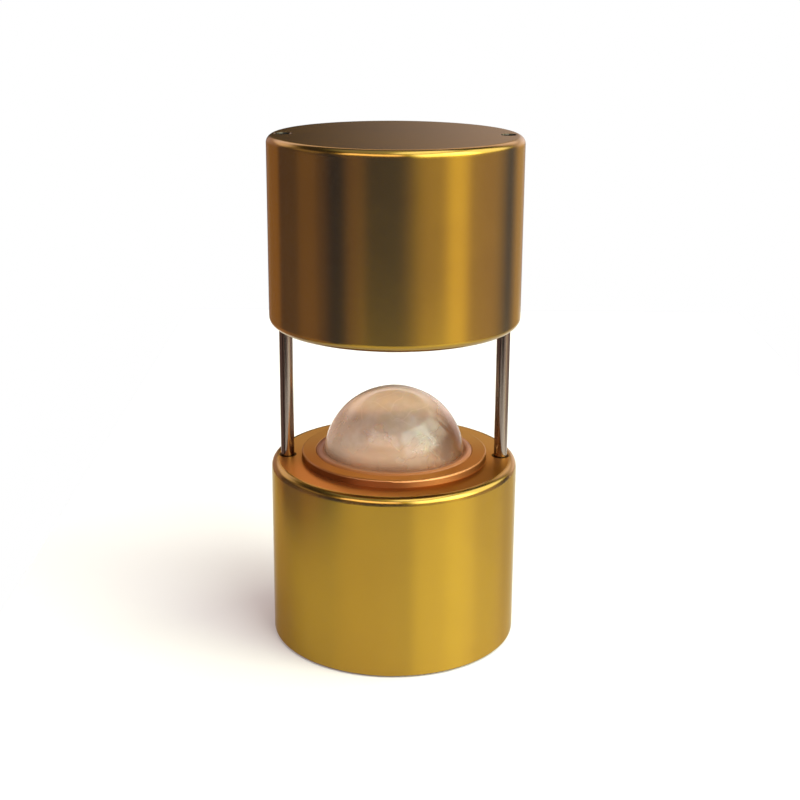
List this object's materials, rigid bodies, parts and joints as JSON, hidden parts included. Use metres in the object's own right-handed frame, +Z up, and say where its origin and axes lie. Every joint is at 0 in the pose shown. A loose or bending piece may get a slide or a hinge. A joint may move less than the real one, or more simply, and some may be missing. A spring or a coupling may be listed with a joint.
{
  "type": "ice ball press",
  "caption": "Gold anodised aluminium ice ball press: a heavy upper mould slides down guide rods on to a lower mould and shapes a block of ice into a ball.",
  "frame": {"origin": "centre of the rubber ring's underside, on the axis of the two blocks, where the press stands", "axes": "+Z up along the axis of the blocks and the slide; +X towards the right guide rod; +Y away from the front"},
  "size_m": [0.11, 0.11, 0.2262],
  "materials": {
    "gold_aluminium": "fine turned, gold anodised",
    "rod_steel": "ground",
    "screw_steel": "plain",
    "bush_brass": "turned",
    "grip_rubber": "smooth",
    "base_rubber": "matt",
    "ice": "wet, melting"
  },
  "bodies": {
    "base": {"lower_mould": "gold_aluminium", "guide_rod_left": "rod_steel", "guide_rod_right": "rod_steel", "rod_screw_left": "screw_steel", "rod_screw_right": "screw_steel", "rod_washer_left": "screw_steel", "rod_washer_right": "screw_steel", "base_ring": "base_rubber", "ice_ball": "ice"},
    "press_head": {"upper_mould": "gold_aluminium", "guide_bush_left": "bush_brass", "guide_bush_right": "bush_brass", "grip_ring_left": "grip_rubber", "grip_ring_right": "grip_rubber"}
  },
  "joints": [
    {"name": "upper_mould_slide", "type": "slide", "parent": "base", "child": "press_head", "axis": [0, 0, 1], "range_m": [-0.056, 0.024]}
  ]
}
